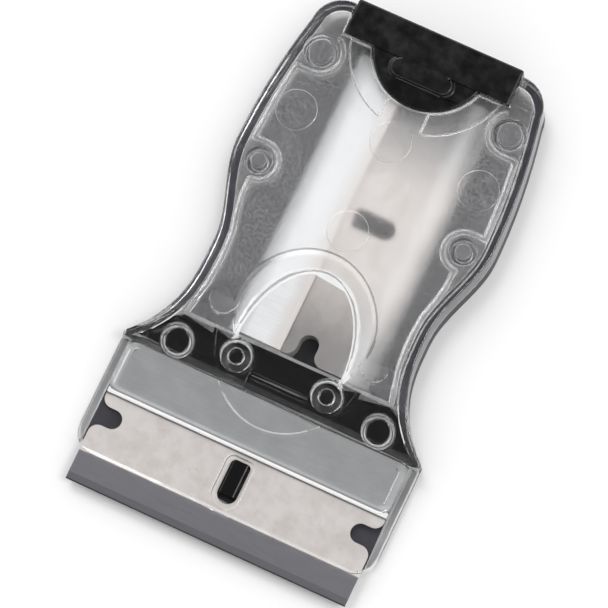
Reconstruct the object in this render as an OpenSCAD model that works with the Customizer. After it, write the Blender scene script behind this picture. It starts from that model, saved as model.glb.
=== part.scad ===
// Pocket scraper for single-edge razor blades, with spare blades in its handle.
// It lies on its back: X runs along the cutting edge, Y from the edge to the end cap, Z up.
// The origin is under the middle of the whole tool. Sizes are in millimetres.

/* [Handle] */
// Length from the cutting edge to the back of the end cap
overall_l = 69; // [66:0.5:74]
// Width over the blade holder at the front
front_w = 40.4; // [40:0.1:44]
// Width of the waist between finger and thumb
waist_w = 29; // [28:0.5:32]
// Greatest width of the handle behind the waist
handle_w = 35; // [33.5:0.5:38]
// Height of the handle over its flat back
handle_h = 7; // [7:0.1:9]
// Height of the joint between the back shell and the cover
joint_h = 2.6; // [2.2:0.1:3]
// Distance from the cutting edge to the shoulders
shoulder_y = 19.6; // [19.3:0.1:20.5]
// Distance from the cutting edge to the waist
waist_y = 33; // [31:0.5:35]
// Distance from the cutting edge to the widest place of the handle
widest_y = 46.7; // [45:0.1:49]
// How much narrower each side is where the tail's corners begin
tail_narrowing = 1.9; // [1:0.1:2.5]
// Radius of the tail's two corners
tail_r = 4; // [3:0.1:5]

/* [Back shell] */
// Thickness of the back shell's floor
floor_t = 1; // [0.8:0.1:1.2]
// Thickness of the back shell's front plate, under the blade
plate_t = 0.8; // [0.7:0.05:1]
// Thickness of the shells' outer walls
wall_t = 1.2; // [1:0.1:1.5]
// Front edge of the front plate, from the cutting edge
plate_front_y = 4.6; // [4.2:0.1:5.5]
// Length of the raised land behind the blade's stop
land_l = 5.8; // [5:0.1:6]
// Height of the land
land_h = 1.9; // [1.7:0.05:2.1]

/* [Front cover] */
// Front edge of the lip, from the cutting edge
lip_front_y = 3.9; // [3:0.1:4.5]
// Thickness of the lip over the blade
lip_t = 0.7; // [0.6:0.05:1]
// Radius of the lip's two corners
lip_corner_r = 2.75; // [2:0.05:3.5]
// Height of the raised panel over the spine, above the lip
panel_h = 0.7; // [0.4:0.05:0.9]
// Width of the sloping edge round the raised panel
panel_slope = 0.9; // [0.5:0.1:1.2]
// Thickness of the cover's top
top_t = 0.9; // [0.8:0.05:1]
// Width of the slot in the lip
lip_slot_w = 3.6; // [3:0.1:4.5]
// Length of the slot in the lip
lip_slot_l = 6.6; // [6:0.1:7]
// Thickness of the rib round the blade store
rib_t = 0.6; // [0.5:0.05:0.8]

/* [Thumb dish] */
// Width of the thumb dish
dish_w = 19.6; // [18:0.1:21]
// Length of the thumb dish
dish_l = 23.2; // [21:0.1:24]
// Middle of the thumb dish, from the cutting edge
dish_y = 26.9; // [26:0.1:28]
// Depth of the dish below the top of the handle
dish_depth = 1.7; // [0.8:0.1:1.7]
// Width of the dish's sloping side
dish_slope = 2.4; // [1.5:0.1:3]
// Width of the arched recess in the dish
arch_w = 14.7; // [13:0.1:15]
// Depth of the arched recess
arch_depth = 0.35; // [0.1:0.05:0.4]

/* [Blades] */
// Length of a blade along its cutting edge
blade_l = 38.1; // [37:0.1:38.3]
// Width of a blade with its spine
blade_w = 18.9; // [18.8:0.05:19]
// Thickness of the blade's steel
blade_t = 0.23; // [0.2:0.01:0.3]
// Width of the ground edge
bevel_w = 1; // [0.6:0.1:1.5]
// Height of the folded spine
spine_h = 7; // [6:0.1:7.2]
// Thickness of the folded spine
spine_t = 1.05; // [0.95:0.05:1.1]
// Radius of the notch in each end of a blade
notch_r = 1.25; // [1:0.05:1.5]
// Width of the flared mouth of that notch
notch_mouth_w = 5; // [4:0.1:5.5]
// Width of the slot in the middle of a blade
blade_slot_w = 2.6; // [2.2:0.1:3]
// Length of the slot in the middle of a blade
blade_slot_l = 5.6; // [5:0.1:6]
// Front end of the blade's slot, from the cutting edge
blade_slot_y = 5.3; // [5.2:0.1:5.6]

/* [Blade lock] */
// Width of the lock's leaf
leaf_w = 7; // [5:0.1:8]
// Thickness of the leaf
leaf_t = 0.6; // [0.4:0.05:0.7]
// Radius of the bar at the leaf's root
root_r = 0.7; // [0.5:0.05:0.7]
// Width of the peg that stands in the blade's slot
peg_w = 2; // [1.5:0.1:2.1]
// Length of the peg
peg_l = 4.4; // [3.5:0.1:4.5]

/* [End cap] */
// Width of the end cap
cap_w = 22.5; // [21:0.1:23]
// Thickness of the cap's bar, along the handle
cap_t = 4.8; // [4:0.1:5]
// How far the cap stands out behind the shells
cap_proud = 0.7; // [0.3:0.1:1.2]
// Radius of the cap's round tongue
tongue_r = 7.6; // [7:0.1:8]
// Width of the ridge for the thumbnail
ridge_w = 8.4; // [6:0.1:9]
// Thickness of the ridge
ridge_t = 2.4; // [2:0.1:2.6]
// How far the ridge stands over the handle
ridge_h = 0.8; // [0.4:0.1:1.2]

/* [Hidden] */
$fn = 64;

// Clearances between pieces
stack_gap = 0.02;    // between one spare blade and the next
rest_gap = 0.05;     // under a blade that lies in its place
slide_gap = 0.1;     // over a blade that slides
side_gap = 0.3;      // beside the ends of the blade in use
fit_gap = 0.15;      // round the cap, the rings and the cover's front walls
pin_gap = 0.05;      // round the lock's root
seam_gap = 0.02;     // between the two shells where they meet
cut = 1;             // how far a cut runs past the face it opens

// The handle's outline
half_front = front_w / 2;
half_waist = waist_w / 2;
half_handle = handle_w / 2;
half_tail = half_handle - tail_narrowing;
shell_rear_y = overall_l - cap_proud;
tail_y = shell_rear_y - tail_r;
shoulder_power = 2.7;
waist_l = 1;
side_steps = 12;
corner_steps = 8;

// Share of the change in width, from shoulder to waist and from waist to the widest place
function shoulder_share(u) = pow(1 - u, shoulder_power);
function rise_share(u) = u * u * (3 - 2 * u);
function half_at(y) =
    y < shoulder_y ? half_front :
    y < waist_y ? half_waist + (half_front - half_waist)
        * shoulder_share((y - shoulder_y) / (waist_y - shoulder_y)) :
    y < waist_y + waist_l ? half_waist :
    y < widest_y ? half_waist + (half_handle - half_waist)
        * rise_share((y - waist_y - waist_l) / (widest_y - waist_y - waist_l)) :
    half_handle - tail_narrowing * pow((y - widest_y) / (tail_y - widest_y), 2);

// Points of one side, from the shoulder to the tail's corner, moved inwards by inset
function side_points(inset, from_y) = [
    for (i = [0:side_steps])
        let (y = shoulder_y + (waist_y - shoulder_y) * pow(i / side_steps, 1.5))
            if (y > from_y) [half_at(y) - inset, y],
    for (i = [0:side_steps])
        let (y = waist_y + waist_l + (widest_y - waist_y - waist_l) * i / side_steps)
            if (y > from_y) [half_at(y) - inset, y],
    for (i = [1:side_steps - 1])
        let (y = widest_y + (tail_y - widest_y) * i / side_steps)
            if (y > from_y) [half_at(y) - inset, y]
];
function tail_points(inset) = [
    for (i = [0:corner_steps])
        let (a = 90 * i / corner_steps)
            [half_tail - tail_r + (tail_r - inset) * cos(a), tail_y + (tail_r - inset) * sin(a)]
];
function front_corner_points(half, front_y, r) = [
    for (i = [0:corner_steps])
        let (a = -90 + 90 * i / corner_steps)
            [half - r + r * cos(a), front_y + r + r * sin(a)]
];
function mirrored(points) = [for (i = [len(points) - 1:-1:0]) [-points[i][0], points[i][1]]];
module both_sides(points) { polygon(concat(points, mirrored(points))); }

// Heights, from the flat back up
blade_z = plate_t + rest_gap;
mouth_h = blade_z + spine_t + slide_gap;
lip_h = mouth_h + lip_t;
store_top_h = handle_h - top_t;
dish_floor_h = handle_h - dish_depth;
dish_t = 0.8;
valley_h = lip_h + panel_h / 2;

// Places along the handle, from the cutting edge
stop_y = blade_w + slide_gap;
spine_front_y = blade_w - spine_h;
land_rear_y = stop_y + land_l;
nose_l = 14;
nose_steps = 12;
function nose_h(y) =
    y > stop_y + nose_l ? handle_h :
    valley_h + (handle_h - valley_h) * sin(90 * (y - stop_y) / nose_l);

// Rings of the cover and pins of the back shell
ring_r = 2.05;
ring_wall = 0.45;
front_ring_in = 6.5;
front_ring_back = 2.2;
front_ring = [half_front - front_ring_in, stop_y + front_ring_back];
rear_ring_in = 2.7;
rear_ring_ahead = 3.25;
rear_ring = [half_tail - rear_ring_in, tail_y - rear_ring_ahead];
mid_boss_r = 1.7;
mid_pin_r = 0.9;
mid_boss_in = 3.55;
mid_boss_ahead = 1.4;
mid_boss = [half_handle - mid_boss_in, widest_y - mid_boss_ahead];
thumb_post_out = 2.67;
thumb_post_back = 3.4;
thumb_post = [leaf_w / 2 + thumb_post_out, stop_y + thumb_post_back];
thumb_post_r = 2;
thumb_pin_r = 0.85;
pin_head_gap = 0.3;

module at_both(place) {
    for (s = [-1, 1]) translate([s * place[0], place[1]]) children();
}

// Moves a module drawn from the cutting edge so that the origin is under the tool's middle
module placed() { translate([0, -overall_l / 2, 0]) children(); }

// A prism along X from points of (y, z)
module along_x(points, length) {
    translate([-length / 2, 0, 0]) rotate([90, 0, 90]) linear_extrude(length) polygon(points);
}

oval_steps = 60;
// An oval prism or cone with its middle at the dish's, from z0 up to z1
module oval(w0, l0, w1, l1, z0, z1) {
    translate([0, dish_y, z0])
        linear_extrude(z1 - z0, scale = [w1 / w0, l1 / l0], slices = 1)
            polygon([for (i = [0:oval_steps - 1])
                let (a = 360 * i / oval_steps) [w0 / 2 * cos(a), l0 / 2 * sin(a)]]);
}

// Blades. The cutting edge is along X at y = 0, with the steel's middle at z = 0.
edge_t = 0.02;
blade_slot_corner_r = 0.6;
spine_sheet = 0.3;
spine_lead = 0.6;
blade_depth_in_spine = spine_h - spine_t;
notch_y = 8.95;
notch_in = 2.1;

// A notch in each end, with a round bottom and a mouth whose corners are rounded off
module notches(h) {
    flare_r = notch_mouth_w / 2 - notch_r;
    for (s = [0, 1]) mirror([s, 0, 0])
        translate([blade_l / 2, notch_y, 0]) linear_extrude(h, center = true) {
            translate([-notch_in, 0]) circle(r = notch_r);
            translate([-notch_in, -notch_r]) square([notch_in + cut, 2 * notch_r]);
            difference() {
                translate([-flare_r, -notch_mouth_w / 2]) square([flare_r + cut, notch_mouth_w]);
                for (t = [-1, 1]) translate([-flare_r, t * notch_mouth_w / 2]) circle(r = flare_r);
            }
        }
}

// A slot with a round front end and two rounded corners at the rear
module slot(w, l, corner_r, h) {
    linear_extrude(h, center = true) {
        translate([0, w / 2]) circle(d = w);
        translate([-w / 2, w / 2]) square([w, l - w / 2 - corner_r]);
        translate([-w / 2 + corner_r, w / 2]) square([w - 2 * corner_r, l - w / 2]);
        for (s = [-1, 1]) translate([s * (w / 2 - corner_r), l - corner_r]) circle(r = corner_r);
    }
}

module steel_blade() {
    tail = spine_front_y + blade_depth_in_spine;
    difference() {
        along_x([[0, -edge_t / 2], [bevel_w, -blade_t / 2], [tail, -blade_t / 2],
                 [tail, blade_t / 2], [bevel_w, blade_t / 2], [0, edge_t / 2]], blade_l);
        notches(blade_t + cut);
        translate([0, blade_slot_y, 0])
            slot(blade_slot_w, blade_slot_l, blade_slot_corner_r, blade_t + cut);
    }
}

module folded_spine() {
    lip_z = blade_t / 2 + spine_sheet;
    difference() {
        union() {
            along_x([[spine_front_y, -lip_z], [spine_front_y + spine_lead, -spine_t / 2],
                     [blade_w - spine_t / 2, -spine_t / 2], [blade_w - spine_t / 2, spine_t / 2],
                     [spine_front_y + spine_lead, spine_t / 2], [spine_front_y, lip_z]], blade_l);
            translate([0, blade_w - spine_t / 2, 0]) rotate([0, 90, 0])
                cylinder(d = spine_t, h = blade_l, center = true);
        }
        along_x([[spine_front_y - cut, -blade_t / 2],
                 [spine_front_y + blade_depth_in_spine, -blade_t / 2],
                 [spine_front_y + blade_depth_in_spine, blade_t / 2],
                 [spine_front_y - cut, blade_t / 2]], blade_l + cut);
    }
}

module in_use() { placed() translate([0, 0, blade_z + spine_t / 2]) children(); }

// The spare blades lie across, with the cutting edge to the right, one on another
spare_edge_x = 10.4;
spare_front_y = land_rear_y + side_gap;
module spare(i) {
    placed() translate([spare_edge_x, spare_front_y + blade_l / 2,
                        floor_t + rest_gap + spine_t / 2 + i * (spine_t + stack_gap)])
        rotate([0, 0, 90]) children();
}
spare_count = 3;
stack_top_h = floor_t + rest_gap + spare_count * (spine_t + stack_gap);

// Blade lock
leaf_z = 0.1;
leaf_front_y = 5.8;
leaf_slit = 0.4;
root_y = 20.6;
root_z = leaf_z + root_r;
root_pin_l = 1.2;
pad_l = 5.3;
pad_w = 5.6;
peg_rear_gap = 0.2;
peg_y = blade_slot_y + blade_slot_l - peg_rear_gap - peg_l;
peg_top_h = lip_h - lip_t / 2;
pad_top_h = blade_z + spine_t / 2 - blade_t / 2 - rest_gap;
peg_tip_w = 1.6;

module lock_leaf() {
    color([0.06, 0.06, 0.065]) placed() {
        translate([-leaf_w / 2, leaf_front_y, leaf_z]) cube([leaf_w, root_y - leaf_front_y, leaf_t]);
        translate([0, root_y, root_z]) rotate([0, 90, 0])
            cylinder(r = root_r, h = leaf_w + 2 * root_pin_l, center = true);
        translate([-pad_w / 2, leaf_front_y + leaf_slit, leaf_z]) cube([pad_w, pad_l, pad_top_h - leaf_z]);
        translate([0, peg_y + peg_l, 0]) rotate([90, 0, 0]) linear_extrude(peg_l)
            both_sides([[peg_w / 2, leaf_z], [peg_w / 2, peg_top_h - leaf_z], [peg_tip_w / 2, peg_top_h]]);
    }
}

// Opening at the tail that the end cap closes
cap_gap_half = cap_w / 2 + fit_gap;
cap_front_y = overall_l - cap_t;
key_out = 0.5;
key_h = 0.8;
key_l = 2.6;

module cap_opening() {
    translate([-cap_gap_half, cap_front_y - fit_gap, -cut])
        cube([2 * cap_gap_half, cap_t + cut, handle_h + 2 * cut]);
    translate([-cap_gap_half - key_out, shell_rear_y - key_l - fit_gap, joint_h - key_h / 2 - fit_gap])
        cube([2 * (cap_gap_half + key_out), key_l + cap_proud + cut, key_h + 2 * fit_gap]);
}

// Back shell
store_wall_t = 0.8;
module back_outline(inset) {
    both_sides(concat(side_points(inset, shoulder_y), tail_points(inset)));
}

// The part of the outline round the land, from front_y to the store
module land_outline(inset, front_y) {
    intersection() {
        both_sides(concat([[half_front - inset, stop_y], [half_front - inset, shoulder_y]],
                          side_points(inset, shoulder_y)));
        translate([-half_front, front_y]) square([front_w, land_rear_y - front_y]);
    }
}

module back_shell() {
    color([0.07, 0.07, 0.075]) placed() difference() {
        union() {
            linear_extrude(floor_t) back_outline(0);
            difference() {
                linear_extrude(joint_h) back_outline(0);
                translate([0, 0, floor_t]) linear_extrude(joint_h) back_outline(wall_t);
            }
            // The land behind the blade's stop, with its side walls and the store's front wall
            linear_extrude(land_h) land_outline(0, stop_y);
            linear_extrude(joint_h) difference() {
                land_outline(0, stop_y);
                land_outline(wall_t, stop_y);
            }
            linear_extrude(joint_h) land_outline(0, land_rear_y - store_wall_t);
            // The front plate, under the blade
            linear_extrude(plate_t)
                both_sides(concat(front_corner_points(half_front, plate_front_y, lip_corner_r),
                                  [[half_front, shoulder_y]]));
            // Pins that stand in the cover's rings and bosses
            intersection() {
                union() {
                    for (place = [front_ring, rear_ring])
                        at_both(place) cylinder(r = ring_r - ring_wall - fit_gap, h = handle_h);
                    at_both(mid_boss) cylinder(r = mid_pin_r, h = handle_h);
                }
                under_top(top_t + pin_head_gap);
            }
            at_both(thumb_post) cylinder(r = thumb_pin_r, h = joint_h + pin_head_gap);
        }
        // Window for the lock's leaf, with a bore for its root
        translate([-leaf_w / 2 - leaf_slit, leaf_front_y - leaf_slit, -cut])
            cube([leaf_w + 2 * leaf_slit, root_y + root_r - leaf_front_y + 2 * leaf_slit,
                  joint_h + 2 * cut]);
        translate([0, root_y, root_z]) rotate([0, 90, 0])
            cylinder(r = root_r + pin_gap, h = leaf_w + 2 * root_pin_l + 2 * pin_gap, center = true);
        cap_opening();
    }
}

// Front cover
panel_r = 1.5;
panel_half_l = half_front - wall_t + slide_gap;
mouth_half_l = blade_l / 2 + side_gap;
rim_r = 10.5;
rim_t = 0.9;
rim_gap_w = 5.4;
lip_slot_y = 4.5;
lip_slot_corner_r = 0.8;
ring_bottom_h = joint_h + fit_gap;
rib_bottom_h = stack_top_h + slide_gap;
rib_front_y = land_rear_y - rib_t / 2;
arch_top_y = 36.15;
boss_clear = 2.55;
arc_steps = 8;

module top_profile() {
    along_x(concat(
        [[lip_front_y, 0], [lip_front_y, lip_h - lip_t / 2], [lip_front_y + lip_t / 2, lip_h],
         [spine_front_y, lip_h], [stop_y - panel_slope / 2, lip_h], [stop_y, valley_h]],
        [for (i = [1:nose_steps]) let (y = stop_y + nose_l * i / nose_steps) [y, nose_h(y)]],
        [[overall_l, handle_h], [overall_l, 0]]), front_w + 2 * cut);
}

module cover_outline(inset) {
    both_sides(concat(front_corner_points(half_front - inset, lip_front_y, lip_corner_r),
                      [[half_front - inset, shoulder_y]],
                      side_points(inset, shoulder_y), tail_points(inset)));
}

// The raised panel over the spine, a frustum with round corners
module spine_panel() {
    hull() {
        for (s = [-1, 1], y = [spine_front_y + panel_r, stop_y - panel_r])
            translate([s * (panel_half_l - panel_r), y, lip_h - lip_t / 2])
                cylinder(r = panel_r, h = lip_t / 2 + slide_gap, $fn = 32);
        for (s = [-1, 1], y = [spine_front_y + panel_r, stop_y - panel_r])
            translate([s * (panel_half_l - panel_r), y, lip_h])
                cylinder(r1 = panel_r, r2 = panel_r - panel_slope, h = panel_h, $fn = 32);
    }
}

// What the thumb dish takes away: an oval with sloping sides, and with upright ones on the nose,
// over a floor that follows the nose
module dish_space(drop, grow) {
    w = dish_w + 2 * grow;
    l = dish_l + 2 * grow;
    intersection() {
        union() {
            oval(w - 2 * dish_slope, l - 2 * dish_slope, w, l, dish_floor_h - drop, handle_h + slide_gap);
            intersection() {
                oval(w, l, w, l, 0, handle_h + slide_gap);
                translate([-dish_w, dish_y - dish_l, 0])
                    cube([2 * dish_w, land_rear_y - dish_y + dish_l, 2 * handle_h]);
            }
        }
        along_x([[dish_y - dish_l / 2 - cut, valley_h - drop],
                 [stop_y, valley_h - drop],
                 [land_rear_y, dish_floor_h - drop],
                 [dish_y + dish_l / 2 + cut, dish_floor_h - drop],
                 [dish_y + dish_l / 2 + cut, handle_h + cut],
                 [dish_y - dish_l / 2 - cut, handle_h + cut]], front_w);
    }
}

// Round marks that the mould's ejector pins leave under the top. The places are shares of the
// handle's half width and of the overall length.
mark_depth = 0.1;
mark_r = 2.6;
small_mark_r = 1.75;
mark_shares = [[-0.71, 0.768], [0, 0.784], [0.71, 0.768], [0, 0.604]];
small_mark_shares = [[-0.59, 0.403], [0.59, 0.403]];
module ejector_marks() {
    for (share = mark_shares)
        translate([share[0] * half_handle, share[1] * overall_l, joint_h])
            cylinder(r = mark_r, h = store_top_h + mark_depth - joint_h);
    for (share = small_mark_shares)
        translate([share[0] * half_handle, share[1] * overall_l, joint_h])
            cylinder(r = small_mark_r, h = nose_h(share[1] * overall_l) - top_t + mark_depth - joint_h);
}

// The arched recess in the dish, which runs out on the nose
arch_steps = 24;
arch_points = [for (i = [0:arch_steps]) let (a = 180 * i / arch_steps)
    [arch_w / 2 * cos(a), rib_front_y + (arch_top_y - rib_front_y) * sin(a)]];
module arch_recess() {
    translate([0, 0, dish_floor_h - arch_depth]) linear_extrude(handle_h)
        polygon(concat(arch_points, [[-arch_w / 2, stop_y], [arch_w / 2, stop_y]]));
}

// The hollow of the cover behind the blade's stop
module cover_hollow() {
    difference() {
        intersection() {
            translate([0, 0, -cut]) linear_extrude(handle_h) cover_outline(wall_t);
            along_x(concat(
                [[stop_y - slide_gap, -cut], [stop_y - slide_gap, valley_h - top_t]],
                [for (i = [0:nose_steps])
                    let (y = stop_y + nose_l * i / nose_steps) [y, nose_h(y) - top_t]],
                [[overall_l, store_top_h], [overall_l, -cut]]), front_w);
        }
        dish_space(dish_t, dish_t / 2);
    }
}

// Centre line of the rib round the blade store, on the right, from the tail to the front
function arc_points(centre, r, a0, a1) = [
    for (i = [0:arc_steps])
        let (a = a0 + (a1 - a0) * i / arc_steps) [centre[0] + r * cos(a), centre[1] + r * sin(a)]
];
rib_inset = 1.75;
rib_side_points = concat(
    arc_points(rear_ring, ring_r + rib_t + fit_gap, 120, 270),
    [for (y = [rear_ring[1] - ring_r - rib_t - fit_gap, (rear_ring[1] + mid_boss[1]) / 2,
               mid_boss[1] + boss_clear]) [half_at(y) - rib_inset, y]],
    arc_points(mid_boss, boss_clear, 90, 270),
    [for (i = [1:arc_steps])
        let (y = mid_boss[1] - boss_clear - (mid_boss[1] - boss_clear - rib_front_y) * i / arc_steps)
            [min(half_at(y) - rib_inset, mid_boss[0]), y]]);

// Points of a line of width w along the given points
function unit(v) = v / norm(v);
function turned(v) = [-v[1], v[0]];
function side_of(points, i, w) =
    let (before = i > 0 ? unit(points[i] - points[i - 1]) : unit(points[1] - points[0]),
         after = i < len(points) - 1 ? unit(points[i + 1] - points[i]) : before,
         mid = unit(before + after))
    points[i] + turned(mid) * w / 2 / max(0.5, mid * before);
function stroke(points, w) = concat(
    [for (i = [0:len(points) - 1]) side_of(points, i, w)],
    [for (i = [len(points) - 1:-1:0]) side_of(points, i, -w)]);

module store_rib() {
    for (s = [0, 1]) mirror([s, 0]) {
        polygon(stroke(rib_side_points, rib_t));
        translate([arch_w / 2, rib_front_y - rib_t / 2])
            square([rib_side_points[len(rib_side_points) - 1][0] - arch_w / 2, rib_t]);
    }
}

module arch_rib() { polygon(stroke(arch_points, rib_t)); }

module front_cover() {
    color([0.82, 0.84, 0.86, 0.35]) placed() difference() {
        union() {
            difference() {
                union() {
                    intersection() {
                        linear_extrude(handle_h) cover_outline(0);
                        top_profile();
                    }
                    spine_panel();
                }
                dish_space(0, 0);
                arch_recess();
                cover_hollow();
                ejector_marks();
                // Joint with the back shell's walls
                translate([-front_w, stop_y, -cut])
                    cube([2 * front_w, overall_l, joint_h + seam_gap + cut]);
            }
            // Ribs, rings and bosses under the top
            intersection() {
                union() {
                    translate([0, 0, rib_bottom_h])
                        linear_extrude(handle_h - rib_bottom_h - top_t / 2) store_rib();
                    translate([0, 0, rib_bottom_h])
                        linear_extrude(dish_floor_h - dish_t / 2 - rib_bottom_h) arch_rib();
                    at_both(front_ring) tube(ring_r, ring_r - ring_wall, land_h + fit_gap);
                    at_both(rear_ring) tube(ring_r, ring_r - ring_wall, ring_bottom_h);
                    at_both(mid_boss) tube(mid_boss_r, mid_pin_r + fit_gap, ring_bottom_h);
                    at_both(thumb_post) tube(thumb_post_r, thumb_pin_r + fit_gap, ring_bottom_h);
                    // Thickened rim round the cap's tongue
                    translate([0, overall_l - cap_t / 2, store_top_h - rim_t]) difference() {
                        cylinder(r = rim_r, h = rim_t + top_t / 2);
                        translate([-rim_gap_w / 2, -2 * rim_r, -cut])
                            cube([rim_gap_w, 2 * rim_r, rim_t + cut + seam_gap]);
                    }
                }
                linear_extrude(handle_h) cover_outline(wall_t / 2);
                under_top(top_t / 2);
            }
        }
        // Joint of the lip with the front plate
        translate([-front_w, lip_front_y - cut, -cut])
            cube([2 * front_w, stop_y - lip_front_y + cut, plate_t + seam_gap + cut]);
        // Mouth for the blade
        translate([-mouth_half_l, lip_front_y - cut, plate_t / 2])
            cube([2 * mouth_half_l, stop_y - lip_front_y + cut, mouth_h - plate_t / 2]);
        // Slot over the lock's peg
        translate([0, lip_slot_y, lip_h]) slot(lip_slot_w, lip_slot_l, lip_slot_corner_r, 2 * lip_h);
        // Space for the cap's tongue
        translate([0, overall_l - cap_t / 2, -cut])
            cylinder(r = tongue_r + fit_gap, h = handle_h + 2 * cut);
        cap_opening();
    }
}

module tube(outer, inner, bottom_h) {
    difference() {
        translate([0, 0, bottom_h]) cylinder(r = outer, h = handle_h);
        translate([0, 0, -cut]) cylinder(r = inner, h = handle_h - top_t - pin_head_gap / 2 + cut);
    }
}

// The space behind the blade's stop that lies at least drop below the cover's top
module under_top(drop) {
    along_x(concat(
        [[stop_y, 0]],
        [for (i = [0:nose_steps]) let (y = stop_y + nose_l * i / nose_steps) [y, nose_h(y) - drop]],
        [[overall_l, handle_h - drop], [overall_l, 0]]), front_w);
}

// End cap
plug_w = 20.4;
plug_l = 0.8;
tongue_t = 1.6;
tongue_fall = 1;
cap_top_proud = 0.2;

module end_cap() {
    tongue_y = overall_l - cap_t / 2;
    color([0.09, 0.09, 0.095]) placed() {
        translate([-cap_w / 2, cap_front_y, 0]) cube([cap_w, cap_t, handle_h + cap_top_proud]);
        translate([-plug_w / 2, cap_front_y - plug_l, floor_t + fit_gap])
            cube([plug_w, plug_l + cut, store_top_h - rim_t - fit_gap - floor_t - fit_gap]);
        translate([-cap_w / 2 - key_out, shell_rear_y - key_l, joint_h - key_h / 2])
            cube([cap_w + 2 * key_out, key_l, key_h]);
        // The tongue, which falls away in front of the ridge
        intersection() {
            translate([0, tongue_y, 0]) cylinder(r = tongue_r, h = handle_h + ridge_h);
            along_x([[tongue_y - tongue_r - cut, handle_h - tongue_t],
                     [cap_front_y + cut, handle_h - tongue_t],
                     [cap_front_y + cut, handle_h], [cap_front_y - ridge_t, handle_h],
                     [tongue_y - tongue_r - cut, handle_h - tongue_fall]], cap_w);
        }
        // The ridge for the thumbnail
        translate([0, cap_front_y - ridge_t / 2, handle_h - tongue_t / 2]) {
            for (s = [-1, 1]) translate([s * (ridge_w - ridge_t) / 2, 0, 0])
                cylinder(d = ridge_t, h = tongue_t / 2 + ridge_h);
            translate([-(ridge_w - ridge_t) / 2, -ridge_t / 2, 0])
                cube([ridge_w - ridge_t, ridge_t, tongue_t / 2 + ridge_h]);
        }
    }
}

module blade() { color([0.62, 0.62, 0.64]) in_use() steel_blade(); }
module blade_spine() { color([0.75, 0.77, 0.8]) in_use() folded_spine(); }
module spare_blade(i) { color([0.68, 0.66, 0.65]) spare(i) steel_blade(); }
module spare_spine(i) { color([0.75, 0.77, 0.8]) spare(i) folded_spine(); }

back_shell();
front_cover();
lock_leaf();
end_cap();
blade();
blade_spine();
spare_blade(0);  // spare_blade_1
spare_spine(0);  // spare_spine_1
spare_blade(1);  // spare_blade_2
spare_spine(1);  // spare_spine_2
spare_blade(2);  // spare_blade_3
spare_spine(2);  // spare_spine_3
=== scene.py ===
"""Looks of a pocket razor blade scraper: clear cover, black back shell, steel blades, black end cap."""

import math

import bmesh
import bpy
from mathutils import Matrix, Vector
from mathutils.kdtree import KDTree


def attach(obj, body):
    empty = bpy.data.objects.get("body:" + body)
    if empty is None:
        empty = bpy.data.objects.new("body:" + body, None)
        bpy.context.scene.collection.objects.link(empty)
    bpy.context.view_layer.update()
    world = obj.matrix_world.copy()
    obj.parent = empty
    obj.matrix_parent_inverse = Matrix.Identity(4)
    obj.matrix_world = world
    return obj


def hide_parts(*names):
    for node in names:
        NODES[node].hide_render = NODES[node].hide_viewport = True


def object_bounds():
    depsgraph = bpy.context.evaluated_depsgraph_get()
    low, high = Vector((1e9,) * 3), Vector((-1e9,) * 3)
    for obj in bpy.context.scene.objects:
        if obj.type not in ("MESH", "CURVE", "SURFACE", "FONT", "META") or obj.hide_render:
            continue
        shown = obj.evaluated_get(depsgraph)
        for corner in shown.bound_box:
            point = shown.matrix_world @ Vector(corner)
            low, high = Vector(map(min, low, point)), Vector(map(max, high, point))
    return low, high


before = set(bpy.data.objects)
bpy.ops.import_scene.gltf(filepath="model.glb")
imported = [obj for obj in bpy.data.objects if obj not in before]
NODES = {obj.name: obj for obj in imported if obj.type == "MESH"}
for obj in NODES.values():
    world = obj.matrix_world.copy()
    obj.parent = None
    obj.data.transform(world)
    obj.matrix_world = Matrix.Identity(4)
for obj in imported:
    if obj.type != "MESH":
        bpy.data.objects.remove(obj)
cad_low, cad_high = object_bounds()

MM = 0.001

# Sizes in millimetres, from the cutting edge, as on the real tool
OVERALL_L = (cad_high.y - cad_low.y) / MM
EDGE_Y = -OVERALL_L / 2
LIP_FRONT_Y = 3.9
# The spares lie behind this line, so that none of their steel shows bare
SPARE_FRONT_Y = 1.0
SPINE_FRONT_Y = 11.9
STOP_Y = 19
STORE_FRONT_Y = 24
STORE_WALL_T = 0.8
MOUTH_SIDE_X = 19.2
# In the store: the spares' middle, and across it a spare's cutting edge and the two sides of its spine
SPARE_MIDDLE_Y = 43.85
SPARE_EDGE_X = 10.4
SPARE_SPINE_X = (-8.5, -1.5)
# Heights over the flat back
MOUTH_TOP_H = 2.0
JOINT_H = 2.62
PANEL_TOP_H = 3.42
RIB_BOTTOM_H = 4.36
DISH_UNDER_H = 4.5
RIM_BOTTOM_H = 5.2
ARCH_H = 5.3
# Where the worn end of the dish and its upper edge begin, and where the arch's rib ends
WORN_BOTTOM_H = 3.0
DISH_EDGE_BOTTOM_H = 6.3
ARCH_RIB_TOP_H = 4.65
# The cover's rings and bosses on the right: across, from the cutting edge, radius and bottom
RINGS = [(13.7, 21.2, 2.05, 2.05), (6.17, 22.4, 2.0, 2.75), (13.95, 45.3, 1.7, 2.75),
         (12.9, 61.05, 2.05, 2.75)]
RING_WALL = 0.45
# The thumb dish and the arch in it, as half width, middle and half length
DISH = (9.8, 26.9, 11.6)
ARCH = (7.35, 24.5, 11.65)
# The rim round the cap's tongue, as middle, inner radius and outer radius
RIM = (66.6, 7.75, 10.7)
# How far a point may lie from the height that it belongs to, and from the side of a ring
NEAR = 0.02
RING_SLACK = 0.05
# How far the rounding of a bottom edge goes up
ROUNDING_H = 0.2


def at(x, y, z):
    """A point in metres, in the frame, from millimetres with y from the cutting edge."""
    return Vector((x * MM, (y + EDGE_Y) * MM, z * MM))


# Materials


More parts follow.
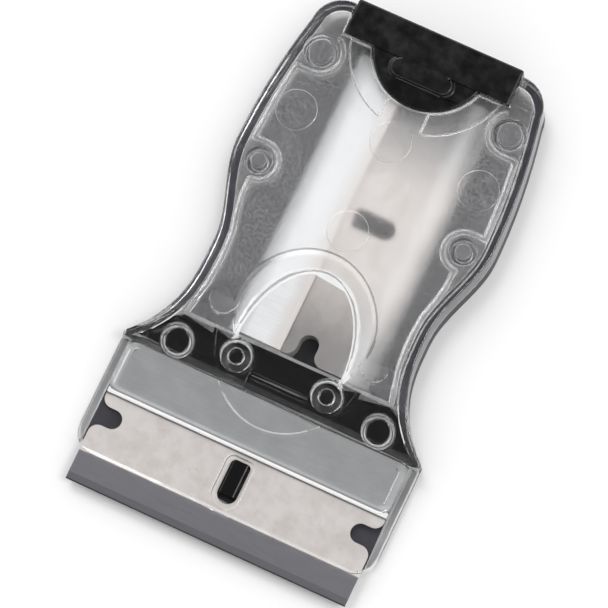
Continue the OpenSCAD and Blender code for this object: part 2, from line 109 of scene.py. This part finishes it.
class Graph:
    """A small helper that adds nodes to a node tree and links them."""

    def __init__(self, tree):
        self.tree = tree

    def add(self, kind, inputs=None, **settings):
        node = self.tree.nodes.new(kind)
        for key, value in settings.items():
            setattr(node, key, value)
        for key, value in (inputs or {}).items():
            self.feed(node.inputs[key], value)
        return node

    def feed(self, socket, value):
        if isinstance(value, bpy.types.NodeSocket):
            self.tree.links.new(value, socket)
        else:
            socket.default_value = value

    def math(self, operation, a, b=0.0):
        return self.add("ShaderNodeMath", {0: a, 1: b}, operation=operation).outputs[0]

    def mix(self, factor, a, b):
        node = self.add("ShaderNodeMix", data_type="RGBA")
        self.feed(node.inputs[0], factor)
        self.feed(node.inputs[6], a)
        self.feed(node.inputs[7], b)
        return node.outputs[2]

    def ramp(self, value, low, high, from_value=0.0, to_value=1.0, kind="LINEAR"):
        """value mapped from low..high to from_value..to_value, held at both ends."""
        node = self.add("ShaderNodeMapRange", {0: value, 1: low, 2: high, 3: from_value, 4: to_value},
                        interpolation_type=kind)
        return node.outputs[0]

    def split(self, vector):
        return self.add("ShaderNodeSeparateXYZ", {0: vector}).outputs

    def noise(self, vector, scale, detail=3.0, roughness=0.5):
        node = self.add("ShaderNodeTexNoise", {"Vector": vector, "Scale": scale, "Detail": detail,
                                               "Roughness": roughness})
        return node.outputs[0]


class MaterialGraph(Graph):
    """The node tree of a new material, with its Principled shader."""

    def __init__(self, name):
        self.material = bpy.data.materials.new(name)
        self.material.use_nodes = True
        super().__init__(self.material.node_tree)
        self.shader = self.tree.nodes["Principled BSDF"]

    def place(self, scale=(1, 1, 1)):
        """The point on the object in millimetres, stretched by scale."""
        coords = self.add("ShaderNodeTexCoord").outputs["Object"]
        mapping = self.add("ShaderNodeMapping", {"Vector": coords, "Scale": [s / MM for s in scale]})
        return mapping.outputs[0]

    def bump(self, height, strength, distance_mm):
        node = self.add("ShaderNodeBump", {"Height": height, "Strength": strength,
                                           "Distance": distance_mm * MM})
        self.feed(self.shader.inputs["Normal"], node.outputs[0])

    def set(self, **values):
        for key, value in values.items():
            self.feed(self.shader.inputs[key.replace("_", " ")], value)
        return self.material


# The share of light that one surface of the clear cover turns away or takes up
SURFACE_LOSS = 0.1
PLASTIC_IOR = 1.57
STEEL_PALE = (0.72, 0.68, 0.66, 1)
STEEL_BARE = (0.36, 0.36, 0.39, 1)
SPARE_PALE = (0.72, 0.672, 0.645, 1)
# Dark tone of the painted shadow on the blade just in front of the spine
SPINE_SHADOW_TONE = (0.05, 0.045, 0.04, 1)
# Dark tone of the painted shade on the spares in the store
STORE_SHADE_TONE = (0.12, 0.12, 0.13, 1)
STORE_TONES = ((0.011, 0.01, 0.015, 1), (0.038, 0.036, 0.05, 1))


def grey(value, warmth=0.0):
    return (value * (1 + warmth), value, value * (1 - warmth), 1.0)


def clear_plastic(name, roughness, haze, tint=1.0, speckle=0.0):
    """Clear moulding with faint flow marks. haze is the share of light that the surface scatters, and
    speckle how strongly that share varies from speck to speck.
    Light that falls through it onto what lies behind passes straight, less SURFACE_LOSS."""
    g = MaterialGraph(name)
    path = g.add("ShaderNodeLightPath").outputs
    falling = g.math("MAXIMUM", path["Is Shadow Ray"], path["Is Diffuse Ray"])
    waves = g.noise(g.place((0.25, 0.12, 0.3)), 1.0, 2.0)
    g.bump(waves, 0.25, 0.05)
    grain = g.noise(g.place(), 7.0, 3.0, 0.7)
    clouds = g.noise(g.place(), 0.22, 3.0)
    patchy = g.math("ADD", g.ramp(grain, 0.25, 0.75, 0.3, 0.7), g.ramp(clouds, 0.3, 0.7, 0.2, 0.8))
    specks = g.noise(g.place(), 3.0, 2.0, 0.6)
    patchy = g.math("MULTIPLY", patchy, g.ramp(specks, 0.36, 0.64, 1.0 - speckle, 1.0 + speckle))
    clear = g.math("SUBTRACT", 1.0, g.math("MULTIPLY", patchy, haze))
    g.shader.distribution = "MULTI_GGX"
    return g.set(Base_Color=(0.99 * tint, 0.993 * tint, 0.996 * tint, 1), Roughness=roughness,
                 IOR=PLASTIC_IOR, Transmission_Weight=clear,
                 Alpha=g.ramp(falling, 0.0, 1.0, 1.0, SURFACE_LOSS))


def black_plastic():
    """Black moulding: the raised land is glossy, and the store behind it satin and paler."""
    g = MaterialGraph("black_plastic")
    spot = g.place()
    low = g.ramp(g.split(spot)[2], 1.05, 1.25, 1.0, 0.0)
    store_y = EDGE_Y + STORE_FRONT_Y + STORE_WALL_T
    behind = g.ramp(g.split(spot)[1], store_y, store_y + 0.1)
    store_share = g.math("MAXIMUM", low, behind)
    grain = g.noise(spot, 9.0, 4.0)
    clouds = g.noise(spot, 0.5, 3.0)
    store_tone = g.mix(clouds, *STORE_TONES)
    tone = g.mix(store_share, grey(0.007), store_tone)
    g.bump(grain, 0.3, 0.02)
    rough = g.ramp(store_share, 0.0, 1.0, 0.16, 0.5)
    return g.set(Base_Color=tone, Roughness=rough)


def cap_plastic():
    """Satin black moulding with a fine grain and cloudy wear."""
    g = MaterialGraph("cap_plastic")
    spot = g.place()
    grain = g.noise(spot, 14.0, 5.0, 0.6)
    clouds = g.noise(spot, 0.6, 3.0)
    tone = g.mix(clouds, grey(0.004), grey(0.011, -0.02))
    g.bump(grain, 0.25, 0.01)
    return g.set(Base_Color=tone, Roughness=g.ramp(clouds, 0.35, 0.65, 0.16, 0.3))


def blade_steel(name, front_y, pale, spine_shadow_strength, painted_light_strength):
    """Rolled steel, pale with faint stains and specks. In front of front_y it is bare, and its tip is
    honed dark. The next two arguments set how strongly a painted shadow shows on the blade beside the
    spine, and how strongly the blades in the store get painted shade towards their ends and edge, with a
    painted highlight streaked beside that edge."""
    g = MaterialGraph(name)
    spot = g.place()
    across = g.split(spot)[1]
    grain = g.noise(g.place((0.5, 9.0, 1.0)), 1.0, 4.0, 0.6)
    stains = g.noise(spot, 0.45, 5.0, 0.65)
    specks = g.noise(spot, 2.6, 2.0, 0.4)
    pale_tone = g.mix(g.ramp(stains, 0.4, 0.7), pale, [pale[0] * 0.84, pale[1] * 0.82, pale[2] * 0.8, 1])
    pale_tone = g.mix(g.ramp(specks, 0.7, 0.76, 0.0, 0.5), pale_tone, [c * 0.5 for c in pale[:3]] + [1])
    bare_tone = g.mix(g.ramp(grain, 0.3, 0.7), STEEL_BARE, [c * 0.8 for c in STEEL_BARE[:3]] + [1])
    ground = g.ramp(across, EDGE_Y + front_y, EDGE_Y + front_y + 0.1, 1.0, 0.0)
    spine_y = EDGE_Y + SPINE_FRONT_Y
    # Painted shadow: a dark line on the blade just in front of the spine's front edge
    spine_shadow = g.ramp(across, spine_y - 0.35, spine_y - 0.1, 0.0, 0.8)
    pale_tone = g.mix(g.math("MULTIPLY", spine_shadow, spine_shadow_strength), pale_tone, SPINE_SHADOW_TONE)
    # Painted shade: the spares darken towards both ends, less so towards the front of the store
    middle_y = EDGE_Y + SPARE_MIDDLE_Y
    off_middle = g.math("ABSOLUTE", g.math("SUBTRACT", across, middle_y))
    front_share = g.ramp(across, middle_y - 6, middle_y, 0.75, 1.0)
    painted_shade = g.math("MULTIPLY", g.ramp(off_middle, 6.0, 15.5), painted_light_strength)
    painted_shade = g.math("MULTIPLY", painted_shade, front_share)
    pale_tone = g.mix(painted_shade, pale_tone, STORE_SHADE_TONE)
    # Painted highlight: a bright streak on the spares just in from the cutting edge
    to_edge = g.math("SUBTRACT", SPARE_EDGE_X, g.split(spot)[0])
    edge_highlight = g.math("MULTIPLY", g.ramp(to_edge, 1.3, 2.6), g.ramp(to_edge, 2.6, 4.2, 1.0, 0.0))
    pale_tone = g.mix(g.math("MULTIPLY", edge_highlight, 0.45 * painted_light_strength), pale_tone, grey(0.93))
    # Painted shade along the spares' cutting edge
    shade = g.math("MULTIPLY", g.ramp(to_edge, 0.2, 1.5, 0.9, 0.0), painted_light_strength)
    pale_tone = g.mix(shade, pale_tone, grey(0.16))
    honed = g.ramp(across, EDGE_Y + 0.1, EDGE_Y + 0.22, 1.0, 0.0)
    tone = g.mix(ground, pale_tone, bare_tone)
    tone = g.mix(honed, tone, grey(0.08))
    g.bump(grain, 0.25, 0.01)
    metal = g.ramp(ground, 0.0, 1.0, 0.12, 1.0)
    return g.set(Base_Color=tone, Metallic=metal, Roughness=g.ramp(grain, 0.2, 0.8, 0.32, 0.45))


def rolled(name, level, metal, stain):
    """Folded steel strip, rolled along its length: the graph, its grain and its tone."""
    g = MaterialGraph(name)
    grain = g.noise(g.place((0.4, 6.0, 6.0)), 1.0, 4.0, 0.6)
    clouds = g.noise(g.place(), 0.35, 3.0)
    tone = g.mix(g.ramp(grain, 0.3, 0.7), grey(level, -0.01), grey(level * 0.88, -0.01))
    tone = g.mix(g.ramp(clouds, 0.35, 0.65, 0.0, stain), tone, grey(level * 0.6, -0.02))
    g.bump(grain, 0.2, 0.01)
    g.set(Roughness=g.ramp(grain, 0.2, 0.8, 0.3, 0.42), Metallic=metal)
    return g, tone


def spine_steel():
    """The spine in use, with a painted highlight along its fold's front edge and a painted dark line of
    shade behind that.
    """
    metal = 0.3
    g, tone = rolled("spine_steel", 0.42, metal, 0.3)
    off = g.math("SUBTRACT", g.split(g.place())[1], EDGE_Y + SPINE_FRONT_Y)
    # Painted highlight: the fold's front edge painted white and not metallic
    fold_highlight = g.ramp(off, 0.6, 0.7, 1.0, 0.0)
    # Painted shade: a dark line just behind the painted highlight
    tone = g.mix(g.ramp(off, 0.85, 1.0, 0.7, 0.0), tone, grey(0.1))
    return g.set(Base_Color=g.mix(fold_highlight, tone, grey(1.0)), Metallic=g.ramp(fold_highlight, 0.0, 1.0, metal, 0.0))


def spare_spine_steel():
    """A spare's spine, painted much lighter than the spine in use as a lit copy of the same steel:
    darker along its outer edge as painted shade, and tinted where it runs down onto the blade.
    """
    # Painted highlight: near white, where the same steel on the spine in use is grey
    g, tone = rolled("spare_spine_steel", 0.95, 0.08, 0.12)
    across = g.split(g.place())[0]
    outer, inner = SPARE_SPINE_X
    # Painted shade along the outer edge of the spine
    tone = g.mix(g.ramp(across, outer + 0.2, outer + 2.4, 0.8, 0.0), tone, grey(0.2, -0.04))
    tone = g.mix(g.ramp(across, inner - 2.2, inner - 0.2, 0.0, 0.95), tone, SPARE_PALE)
    return g.set(Base_Color=tone)


# Pieces


# Edges are rounded where faces meet at more than this angle and reach this many widths away
SHARP_DEG = 30
ROOM_WIDTHS = 2.2
# A boundary that leaves an edge's line by less than this share of its length runs on past the end
RUN_ON_SHARE = 0.4
# Corner normals: the greatest turn between the faces, rounded or flat, that share one
ROUND_TURN_DEG = 50
FLAT_TURN_DEG = 30
# Points nearer than this are one, faces that turn less than this are one, and shorter edges go
MERGE_MM = 0.01
DISSOLVE_DEG = 0.5
SHORT_MM = 0.004
# Two normals that differ by less than this are the same
SAME_NORMAL = 0.01


def room(face, edge):
    """How far a face reaches from the two ends of one of its edges, in millimetres. A boundary that
    runs smoothly on past an end sets no limit there."""
    reach = 100.0
    for loop in face.loops:
        if loop.edge != edge:
            continue
        start, end = loop.vert.co, loop.link_loop_next.vert.co
        along = (end - start).normalized()
        before = start - loop.link_loop_prev.vert.co
        after = loop.link_loop_next.link_loop_next.vert.co - end
        for side in (before, after):
            across = side - along * side.dot(along)
            if across.length > RUN_ON_SHARE * side.length or side.dot(along) < 0:
                reach = min(reach, across.length / MM)
    return reach


def sharp_edges(bm, width, inside):
    """Sharp edges with room for a rounding of that width, out of those that pass the test inside."""
    found = []
    for edge in bm.edges:
        if len(edge.link_faces) != 2 or edge.calc_face_angle(0) < math.radians(SHARP_DEG):
            continue
        if min(room(face, edge) for face in edge.link_faces) < ROOM_WIDTHS * width:
            continue
        if inside(edge.verts[0].co / MM, edge.verts[1].co / MM):
            found.append(edge)
    return found


def ends(edge):
    """What tells an edge from all others, also once the mesh has been built again."""
    return frozenset(tuple(vert.co) for vert in edge.verts)


def in_order(bm):
    """The same mesh, built again with its vertices, faces and corners in an order that never varies, so
    that each step gives the same result each run."""
    flag = bm.faces.layers.int["rounded"]
    verts = sorted(bm.verts, key=lambda vert: tuple(round(c / MM, 5) for c in vert.co))
    places = {vert: i for i, vert in enumerate(verts)}
    rows = {}
    for face in bm.faces:
        corners = [places[vert] for vert in face.verts]
        start = corners.index(min(corners))
        row = (tuple(corners[start:] + corners[:start]), face[flag])
        # Two faces on the same corners lie back to back and hold nothing between them, so both go
        if rows.pop(frozenset(corners), None) is None:
            rows[frozenset(corners)] = row
    ordered = bmesh.new()
    points = [ordered.verts.new(vert.co) for vert in verts]
    new_flag = ordered.faces.layers.int.new("rounded")
    for corners, value in sorted(rows.values()):
        ordered.faces.new([points[i] for i in corners])[new_flag] = value
    bm.free()
    ordered.normal_update()
    return ordered


def corner_normals(bm):
    """Normals of the face corners: flat faces stay flat, and the roundings run smoothly into them."""
    rounded = bm.faces.layers.int["rounded"]
    round_limit = math.cos(math.radians(ROUND_TURN_DEG))
    flat_limit = math.cos(math.radians(FLAT_TURN_DEG))
    areas = [face.calc_area() for face in bm.faces]
    normals = []
    for face in bm.faces:
        for loop in face.loops:
            flats, rounds = Vector(), Vector()
            for other in loop.vert.link_faces:
                likeness = other.normal.dot(face.normal)
                if other[rounded] and likeness > round_limit:
                    rounds += other.normal * areas[other.index]
                elif not other[rounded] and likeness > flat_limit:
                    flats += other.normal * areas[other.index]
            normals.append((flats if flats.length > 0 else rounds).normalized())
    return normals


def moulded(node, name, roundings, materials, body, face_material=None):
    """A piece that stands for a CAD node: its shape with the edges rounded as moulding or rolling does.
    roundings is a list of (width in mm, segments, test of an edge's two ends)."""
    mesh = NODES[node].data.copy()
    mesh.name = name
    mesh.materials.clear()
    for material in materials:
        mesh.materials.append(material)
    bm = bmesh.new()
    bm.from_mesh(mesh)
    bmesh.ops.remove_doubles(bm, verts=bm.verts, dist=MERGE_MM * MM)
    bm.faces.layers.int.new("rounded")
    for width, segments, inside in roundings:
        bmesh.ops.dissolve_limit(bm, angle_limit=math.radians(DISSOLVE_DEG), verts=bm.verts,
                                 edges=bm.edges)
        bm = in_order(bm)
        chosen = {ends(edge) for edge in sharp_edges(bm, width, inside)}
        bmesh.ops.triangulate(bm, faces=[face for face in bm.faces if len(face.verts) > 4])
        bm = in_order(bm)
        edges = [edge for edge in bm.edges if ends(edge) in chosen]
        # A face that the rounding adds is told by a normal that no face had before
        turns = KDTree(len(bm.faces))
        for i, face in enumerate(bm.faces):
            turns.insert(face.normal, i)
        turns.balance()
        result = bmesh.ops.bevel(bm, geom=edges, offset=width * MM, offset_type="OFFSET",
                                 segments=segments, profile=0.5, affect="EDGES", clamp_overlap=False,
                                 miter_outer="ARC")
        bm.normal_update()
        rounded = bm.faces.layers.int["rounded"]
        for face in result["faces"]:
            if turns.find(face.normal)[2] > SAME_NORMAL:
                face[rounded] = 1
        bm = in_order(bm)
    bmesh.ops.dissolve_degenerate(bm, dist=SHORT_MM * MM, edges=bm.edges)
    bm = in_order(bm)
    bmesh.ops.triangulate(bm, faces=[face for face in bm.faces if len(face.verts) > 4])
    bm = in_order(bm)
    for face in bm.faces:
        face.smooth = True
        if face_material:
            face.material_index = face_material(face)
    bm.faces.index_update()
    normals = corner_normals(bm)
    bm.to_mesh(mesh)
    bm.free()
    mesh.normals_split_custom_set(normals)
    piece = bpy.data.objects.new(name, mesh)
    bpy.context.scene.collection.objects.link(piece)
    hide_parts(node)
    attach(piece, body)


def finish_node(name, material):
    """A CAD node that keeps its shape and gets a material."""
    node = NODES[name]
    node.data.materials.clear()
    node.data.materials.append(material)


def near(*heights):
    """A test for edges that lie at one of the heights."""
    return lambda a, b: any(abs(a.z - h) < NEAR and abs(b.z - h) < NEAR for h in heights)


def anywhere(a, b):
    return True


def outside_mouth(a, b):
    """Not an edge of the blade's mouth or of the lip's joint, which are sharp."""
    return not (max(a.z, b.z) < MOUTH_TOP_H + NEAR and max(a.y, b.y) < EDGE_Y + STOP_Y + NEAR)


def on_a_ring_bottom(point):
    for x, y, radius, bottom in RINGS:
        off = math.hypot(abs(point.x) - x, point.y - EDGE_Y - y)
        on_ring = radius - RING_WALL - RING_SLACK < off < radius + RING_SLACK
        if on_ring and point.z < bottom + ROUNDING_H:
            return True
    return False


def out_share(point, oval):
    """How far out a point lies in an oval: 0 in its middle and 1 on its line."""
    half_w, middle, half_l = oval
    return math.hypot(point.x / half_w, (point.y - EDGE_Y - middle) / half_l)


def on_oval(point, oval, slack):
    return abs(out_share(point, oval) - 1) < slack


def on_the_rim(point):
    middle, inner, outer = RIM
    off = math.hypot(point.x, point.y - EDGE_Y - middle)
    up = point.z - RIM_BOTTOM_H
    return inner < off < outer and -NEAR < up < ROUNDING_H + NEAR


half_widths = {}
for vertex in NODES["front_cover"].data.vertices:
    row = round(vertex.co.y / MM)
    half_widths[row] = max(half_widths.get(row, 0), abs(vertex.co.x / MM))


def half_width(y):
    """The cover's half width at y, in millimetres, from the widest points of its outline nearby."""
    return max(half_widths.get(round(y) + step, 0) for step in (-1, 0, 1))


# The cover's surfaces: polished, the frosted underside over the store, the scattering edges of the ribs,
# rings and rim, the edges of the thumb dish and arch, tinted dark as painted shade, the worn end of the
# dish on the panel, the outer walls, tinted dark as painted shade, the walls beside the blade's mouth,
# and the rib under the arch
POLISHED, FROSTED, RIB_EDGE, DISH_EDGE, WORN, WALL, MOUTH_WALL, ARCH_RIB = range(8)
# Name, roughness, haze, tint and speckle of each
COVER_LOOKS = [
    ("clear_plastic", 0.03, 0.0),
    ("frosted_plastic", 0.45, 0.07, 1.0, 1.0),
    ("rib_edge_plastic", 0.2, 0.3),
    # The dish's edges and the outer walls have a tint below 1: painted shade
    ("dish_edge_plastic", 0.1, 0.2, 0.3),
    ("worn_plastic", 0.4, 0.3),
    ("wall_plastic", 0.05, 0.0, 0.15),
    ("mouth_wall_plastic", 0.3, 0.35, 0.8),
    ("arch_rib_plastic", 0.3, 0.8),
]
# How far up the faces of each kind look, from 1, straight up, to -1, straight down
FLAT_TOP_TURN = 0.985
MOUTH_WALL_TURN = 0.9
WALL_TURN = -0.1
ARCH_RIB_TURN = -0.2
UNDERSIDE_TURN = -0.5
RIB_TURN = -0.75
FLAT_UNDER_TURN = -0.97
# How far out a wall's faces look, at least, and how far in from the outline they lie, at most
OUTWARD_SHARE = 0.3
WALL_DEPTH = 0.5
# How far from their ovals' lines the edges lie, as a share of the oval
WORN_SLACK = 0.06
ARCH_SLACK = 0.05
DISH_SLACK = 0.08
ARCH_RIB_SLACK = 0.07


def cover_face(face):
    """Which of the cover's surfaces a face belongs to."""
    middle = face.calc_center_median() / MM
    over_store = middle.y > EDGE_Y + STORE_FRONT_Y
    turn = face.normal.z
    if abs(middle.x) > MOUTH_SIDE_X and middle.y < EDGE_Y + STOP_Y and turn < MOUTH_WALL_TURN:
        return MOUTH_WALL
    outward = face.normal.x * middle.x > OUTWARD_SHARE * abs(middle.x)
    at_outline = abs(middle.x) > half_width(middle.y) - WALL_DEPTH
    if middle.y > EDGE_Y + STOP_Y and at_outline and outward:
        return WALL
    if turn > WALL_TURN:
        if turn > FLAT_TOP_TURN or not over_store and middle.z > PANEL_TOP_H:
            return POLISHED
        if not over_store:
            return WORN if middle.z > WORN_BOTTOM_H and on_oval(middle, DISH, WORN_SLACK) else POLISHED
        arch_edge = middle.z < ARCH_H + NEAR and on_oval(middle, ARCH, ARCH_SLACK)
        dish_edge = middle.z > DISH_EDGE_BOTTOM_H and on_oval(middle, DISH, DISH_SLACK)
        return DISH_EDGE if arch_edge or dish_edge else POLISHED
    on_arch_rib = middle.z < ARCH_RIB_TOP_H and on_oval(middle, ARCH, ARCH_RIB_SLACK)
    if turn < ARCH_RIB_TURN and over_store and on_arch_rib:
        return ARCH_RIB
    if turn < RIB_TURN and RIB_BOTTOM_H - NEAR < middle.z < DISH_UNDER_H - NEAR:
        return RIB_EDGE
    if turn > FLAT_UNDER_TURN and (on_the_rim(middle) or on_a_ring_bottom(middle)):
        return RIB_EDGE
    under_arch = out_share(middle, ARCH) < 1 - ARCH_SLACK
    underside = over_store and turn < UNDERSIDE_TURN and middle.z > JOINT_H + NEAR
    return FROSTED if underside and not under_arch else POLISHED


COVER_ROUNDINGS = [(0.26, 4, near(RIB_BOTTOM_H)), (0.18, 3, near(RINGS[0][3], RINGS[1][3])),
                   (0.2, 3, outside_mouth), (0.13, 2, outside_mouth), (0.06, 2, outside_mouth)]
moulded("front_cover", "clear_cover", COVER_ROUNDINGS,
        [clear_plastic(*look) for look in COVER_LOOKS], "handle", cover_face)
shell_material = black_plastic()
moulded("back_shell", "black_shell", [(0.15, 2, anywhere)], [shell_material], "handle")
moulded("lock_leaf", "springy_lock", [(0.1, 2, anywhere)], [shell_material], "lock")
moulded("end_cap", "pull_out_cap", [(0.3, 3, anywhere)], [cap_plastic()], "cap")
finish_node("blade", blade_steel("blade_steel", LIP_FRONT_Y, STEEL_PALE, 1.0, 0.0))
finish_node("blade_spine", spine_steel())
spare_steel = blade_steel("spare_blade_steel", SPARE_FRONT_Y, SPARE_PALE, 0.0, 0.9)
spare_spine = spare_spine_steel()
for i in (1, 2, 3):
    finish_node(f"spare_blade_{i}", spare_steel)
    finish_node(f"spare_spine_{i}", spare_spine)


# Camera, read from the photograph: 600 mm away, turned so that the tool leans as it does there
CAMERA_AT = at(91.865, -67.693, 589.908)
CAMERA_RIGHT = Vector((0.89995, 0.4303, -0.07024))
CAMERA_UP = Vector((-0.40754, 0.88747, 0.21521))
CAMERA_BACK = Vector((0.15494, -0.16505, 0.97404))
SENSOR_MM = 36
LENS_MM = 289.54
CLIP_M = (0.05, 20)


def make_camera():
    data = bpy.data.cameras.new("camera")
    data.sensor_width = SENSOR_MM
    data.lens = LENS_MM
    data.clip_start, data.clip_end = CLIP_M
    camera = bpy.data.objects.new("camera", data)
    bpy.context.scene.collection.objects.link(camera)
    rotation = Matrix((CAMERA_RIGHT, CAMERA_UP, CAMERA_BACK)).transposed().to_4x4()
    camera.matrix_world = Matrix.Translation(CAMERA_AT) @ rotation
    bpy.context.scene.camera = camera


# Floor and lamps
FLOOR_HALF_M = 3.0
# Name, place and size in metres, and watts
LAMPS = [("key", (-0.45, 0.5, 0.7), (0.5, 0.4), 2.9), ("fill", (0.5, 0.1, 0.75), (0.3, 0.4), 2.0)]


def make_floor():
    mesh = bpy.data.meshes.new("studio_floor")
    corners = [(x * FLOOR_HALF_M, y * FLOOR_HALF_M, 0) for x, y in ((-1, -1), (1, -1), (1, 1), (-1, 1))]
    mesh.from_pydata(corners, [], [(0, 1, 2, 3)])
    mesh.materials.append(MaterialGraph("studio_floor").set(Base_Color=(1, 1, 1, 1), Roughness=0.9))
    floor = bpy.data.objects.new("studio_floor", mesh)
    bpy.context.scene.collection.objects.link(floor)


def make_lamp(name, place, size, watts):
    """An area lamp that looks at the tool."""
    data = bpy.data.lights.new(name, "AREA")
    data.shape = "RECTANGLE"
    data.size, data.size_y = size
    data.energy = watts
    lamp = bpy.data.objects.new(name, data)
    bpy.context.scene.collection.objects.link(lamp)
    lamp.location = place
    lamp.rotation_mode = "QUATERNION"
    lamp.rotation_quaternion = (-Vector(place)).to_track_quat("-Z", "Y")


# The tent is open overhead and towards the front, where the camera stands
OPENING_REAR = Vector((-0.155, 0.165, 0.974)).normalized()
OPENING_FRONT = Vector((-0.12, -0.6, 0.79)).normalized()
OPENING_EDGE_DEG = (8, 20)
OPENING_STRENGTH = 0.12
TENT_STRENGTH = 1.15
# Heights, on a ball round the tool, where its bright walls end, and how bright its roof is beside them
TENT_WALL_TOP = (0.42, 0.62)
TENT_ROOF_SHARE = 0.5


def make_world():
    """A white tent round the tool, with a dark opening overhead. The camera itself sees plain white."""
    world = bpy.data.worlds.new("studio")
    world.use_nodes = True
    bpy.context.scene.world = world
    g = Graph(world.node_tree)
    direction = g.add("ShaderNodeTexCoord").outputs["Generated"]

    def towards(goal):
        node = g.add("ShaderNodeVectorMath", {0: direction, 1: goal}, operation="DOT_PRODUCT")
        return node.outputs["Value"]

    between = (OPENING_REAR + OPENING_FRONT).normalized()
    near_opening = g.math("MAXIMUM", g.math("MAXIMUM", towards(OPENING_REAR), towards(OPENING_FRONT)),
                          towards(between))
    inner, outer = (math.cos(math.radians(angle)) for angle in OPENING_EDGE_DEG)
    tent = g.ramp(near_opening, outer, inner, TENT_STRENGTH, OPENING_STRENGTH, "SMOOTHSTEP")
    roof = g.ramp(g.split(direction)[2], *TENT_WALL_TOP, 1.0, TENT_ROOF_SHARE, "SMOOTHSTEP")
    seen = g.add("ShaderNodeLightPath").outputs["Is Camera Ray"]
    background = g.tree.nodes["Background"]
    g.feed(background.inputs["Color"], (1, 1, 1, 1))
    g.feed(background.inputs["Strength"], g.math("MAXIMUM", g.math("MULTIPLY", tent, roof), seen))


make_camera()
make_floor()
make_world()
for lamp in LAMPS:
    make_lamp(*lamp)

bpy.context.scene.view_settings.view_transform = "Standard"
